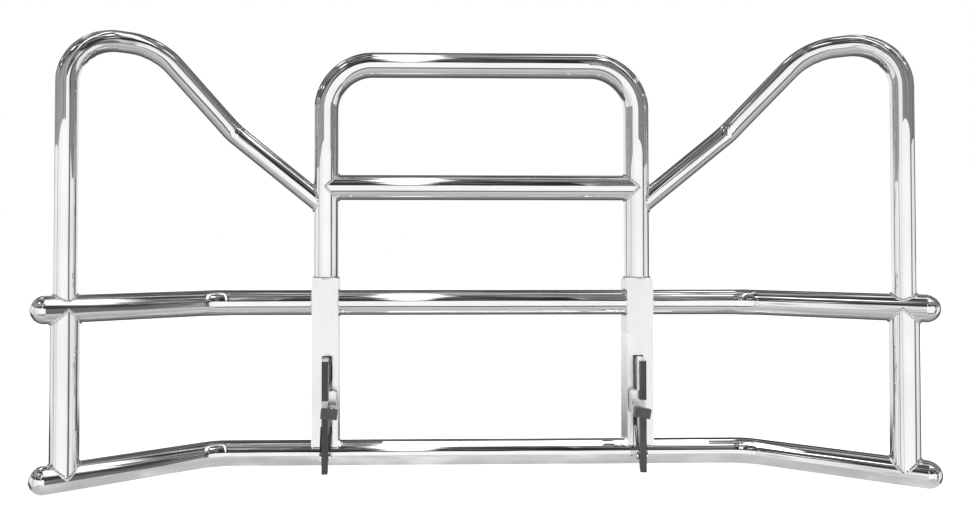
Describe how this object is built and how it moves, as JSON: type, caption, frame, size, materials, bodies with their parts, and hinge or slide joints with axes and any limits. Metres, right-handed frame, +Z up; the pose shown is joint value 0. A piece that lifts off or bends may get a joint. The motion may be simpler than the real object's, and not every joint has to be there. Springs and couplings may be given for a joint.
{
  "type": "truck grille guard",
  "caption": "Fold-down tubular grille guard for a heavy truck, with swept-back wings, slotted square uprights hinged on bracket plates, and quarter-turn T-handle locks.",
  "frame": {"origin": "under the middle of the whole part, at the height of its lowest point, the lower ends of the bracket plates' rubber trims", "axes": "+X across the truck, +Y away from the truck towards the road ahead, +Z up; the wings sweep back to -Y"},
  "size_m": [2.052, 0.2989, 1.0615],
  "materials": {
    "polished_stainless": "polished",
    "satin_stainless": "satin",
    "zinc_steel": "zinc plated",
    "bronze": "satin",
    "black_rubber": "matte",
    "black_grip": "matte"
  },
  "bodies": {
    "truck_brackets": {"plate_left": "polished_stainless", "plate_right": "polished_stainless", "trim_upper_left": "black_rubber", "trim_upper_right": "black_rubber", "trim_lower_left": "black_rubber", "trim_lower_right": "black_rubber", "hinge_bushes": "bronze", "lock_guide_left": "satin_stainless", "lock_guide_right": "satin_stainless", "stop_pads": "black_rubber"},
    "guard": {"bottom_rail": "polished_stainless", "mid_rail_center": "polished_stainless", "mid_rail_left": "polished_stainless", "mid_rail_right": "polished_stainless", "center_hoop": "polished_stainless", "cross_bar": "polished_stainless", "wing_hoop_left": "polished_stainless", "wing_hoop_right": "polished_stainless", "lower_post_left": "polished_stainless", "lower_post_right": "polished_stainless", "box_caps": "polished_stainless", "bottom_rail_domes": "polished_stainless", "mid_rail_domes": "polished_stainless", "hinge_ears_left": "polished_stainless", "hinge_ears_right": "polished_stainless", "upright_box_left": "satin_stainless", "upright_box_right": "satin_stainless", "hinge_bolts": "zinc_steel", "hinge_nuts": "zinc_steel", "hinge_washers": "zinc_steel"},
    "lock_left": {"lock_rod_left": "polished_stainless", "lock_grip_left": "black_grip", "lock_cam_left": "zinc_steel", "lock_collar_left": "satin_stainless", "cam_nut_left": "zinc_steel"},
    "lock_right": {"lock_rod_right": "polished_stainless", "lock_grip_right": "black_grip", "lock_cam_right": "zinc_steel", "lock_collar_right": "satin_stainless", "cam_nut_right": "zinc_steel"}
  },
  "joints": [
    {"name": "guard_fold", "type": "hinge", "parent": "truck_brackets", "child": "guard", "pos_m": [0, 0.06655, 0.038], "axis": [-1, 0, 0], "range_deg": [0, 68]},
    {"name": "lock_left_turn", "type": "hinge", "parent": "truck_brackets", "child": "lock_left", "pos_m": [-0.375, 0.06655, 0.156], "axis": [0, -1, 0], "range_deg": [0, 90]},
    {"name": "lock_right_turn", "type": "hinge", "parent": "truck_brackets", "child": "lock_right", "pos_m": [0.375, 0.06655, 0.156], "axis": [0, 1, 0], "range_deg": [0, 90]}
  ]
}
